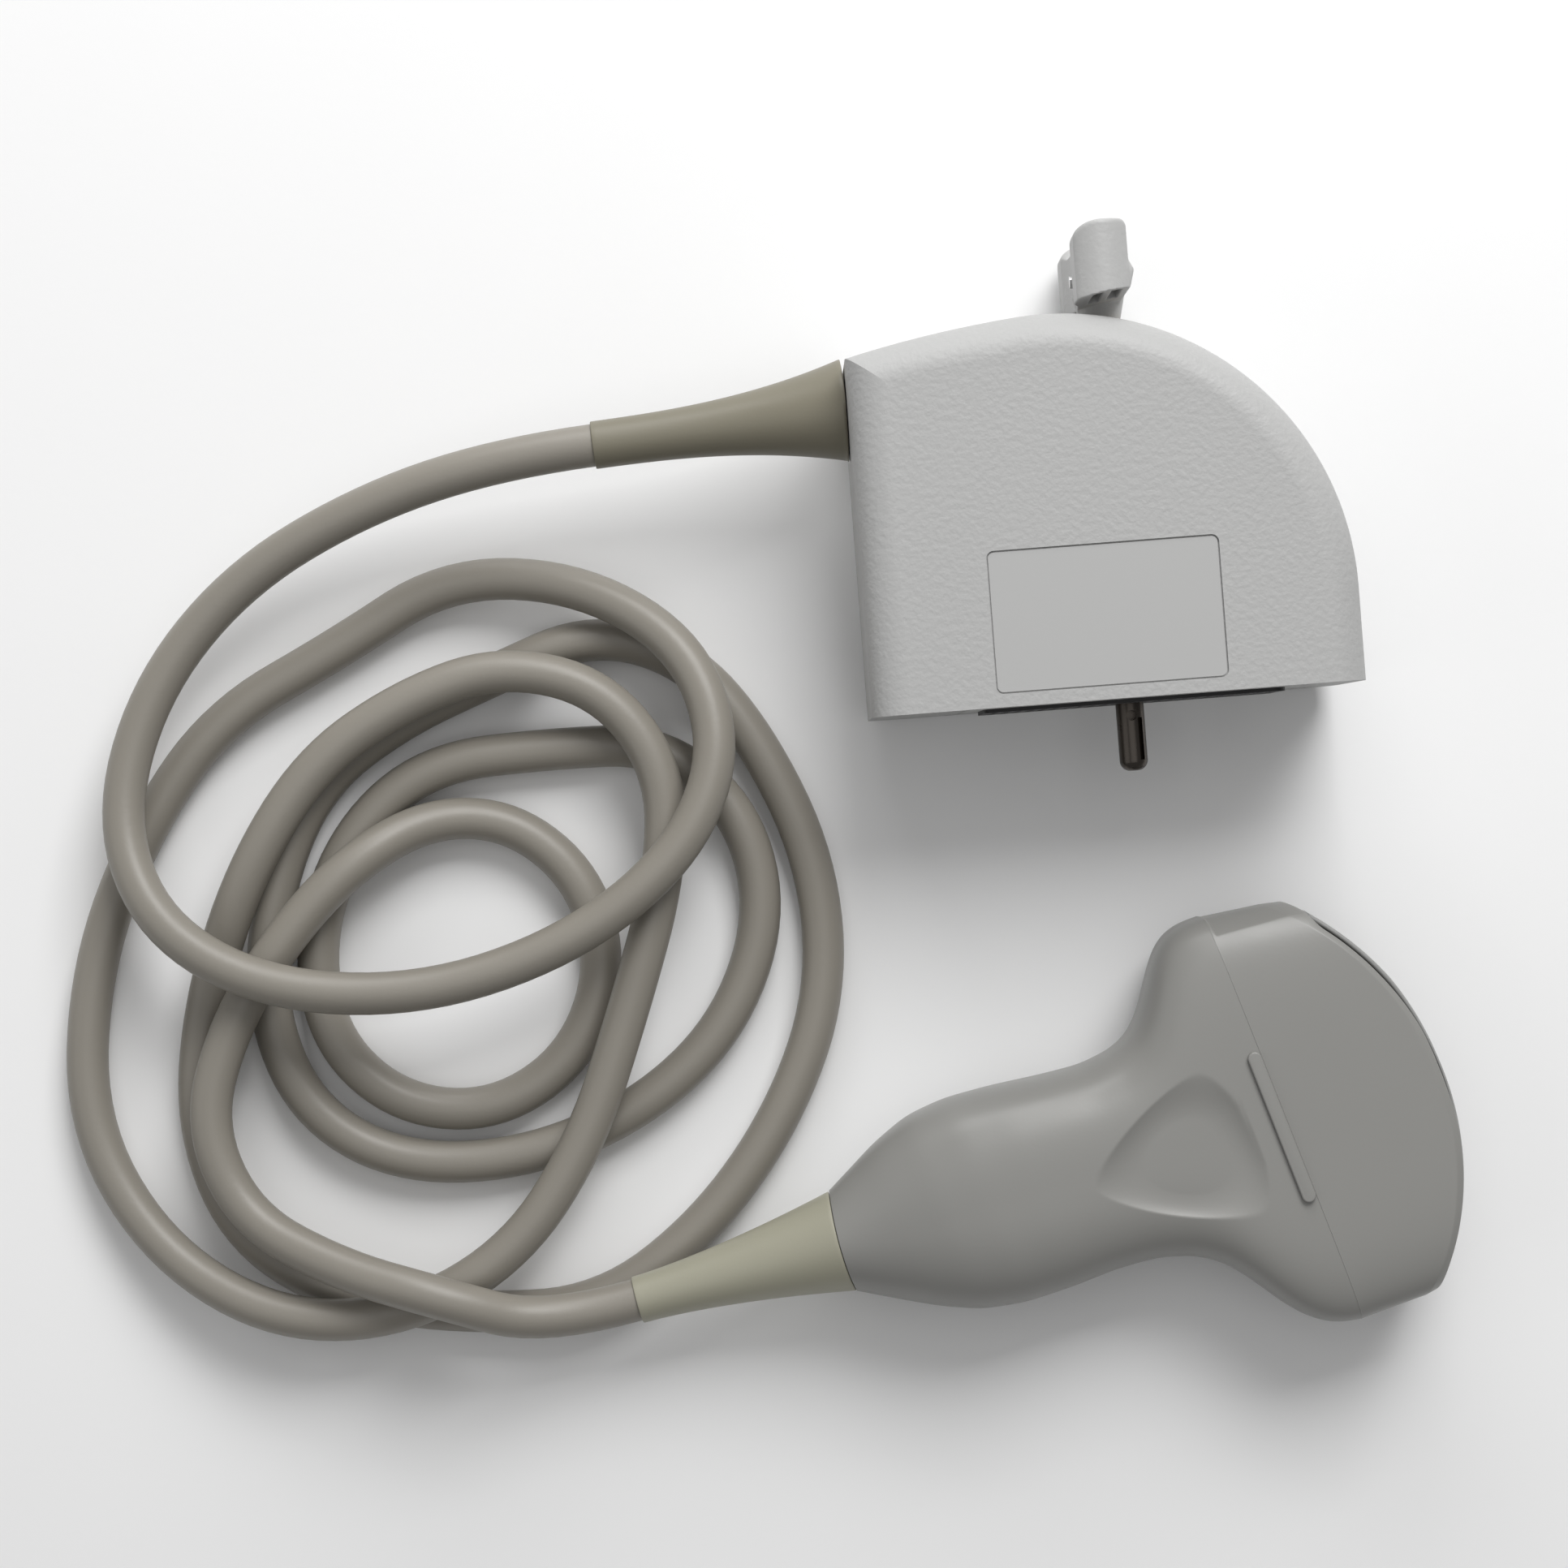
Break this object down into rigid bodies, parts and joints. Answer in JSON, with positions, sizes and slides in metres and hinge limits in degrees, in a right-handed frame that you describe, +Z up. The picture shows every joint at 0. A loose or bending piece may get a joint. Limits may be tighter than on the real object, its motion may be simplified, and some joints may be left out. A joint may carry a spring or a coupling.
{
  "type": "ultrasound transducer probe",
  "caption": "Curved-array ultrasound transducer probe: grip with arc lens, cable in loose loops, and a flat connector with contacts and a quarter-turn lock lever.",
  "frame": {"origin": "on the bench under the lock shaft's axis, half way along the depth of the connector housing", "axes": "+X across the connector away from the cable, +Y along the lock shaft towards its lever, +Z up from the bench"},
  "size_m": [0.2307, 0.1809, 0.0401],
  "materials": {
    "housing_plastic": "fine moulded grain",
    "lever_plastic": "fine moulded grain",
    "head_plastic": "smooth satin",
    "nose_plastic": "smooth satin",
    "lens_silicone": "smooth",
    "cable_jacket": "satin",
    "side_boot_rubber": "satin",
    "head_boot_rubber": "satin",
    "insert_black": "moulded",
    "frame_metal": "cast and tumbled",
    "label_film": "plain",
    "contact_gold": "plated",
    "shaft_steel": "dark, turned",
    "steel": "bright",
    "bush_brass": "turned",
    "carrier_aluminium": "milled",
    "board_laminate": "solder mask",
    "flex_film": "amber film",
    "backing_resin": "dull",
    "matching_resin": "dull",
    "ceramic": "sawn ceramic",
    "lead_bundle": "taped"
  },
  "bodies": {
    "probe": {"housing_top": "housing_plastic", "housing_bottom": "housing_plastic", "handle_front": "head_plastic", "handle_back": "head_plastic", "nose_shell": "nose_plastic", "acoustic_lens": "lens_silicone", "cable": "cable_jacket", "connector_boot": "side_boot_rubber", "head_boot": "head_boot_rubber", "contact_insert": "insert_black", "connector_frame": "frame_metal", "label_plate": "label_film", "contacts": "contact_gold", "housing_screws": "steel", "saddle_screw": "steel", "cable_saddle": "steel", "head_ferrule": "steel", "shaft_bush": "bush_brass", "array_carrier": "carrier_aluminium", "connector_board": "board_laminate", "head_board": "board_laminate", "flex_circuit_upper": "flex_film", "flex_circuit_lower": "flex_film", "backing_block": "backing_resin", "matching_layer": "matching_resin", "piezo_elements": "ceramic", "connector_loom": "lead_bundle", "head_loom": "lead_bundle"},
    "lock_spindle": {"lock_shaft": "shaft_steel", "lever": "lever_plastic", "lever_pin": "steel", "shaft_clip": "steel"}
  },
  "joints": [
    {"name": "lock_turn", "type": "hinge", "parent": "probe", "child": "lock_spindle", "pos_m": [0, 0.026, 0.02], "axis": [0, 1, 0], "range_deg": [0, 90]}
  ]
}
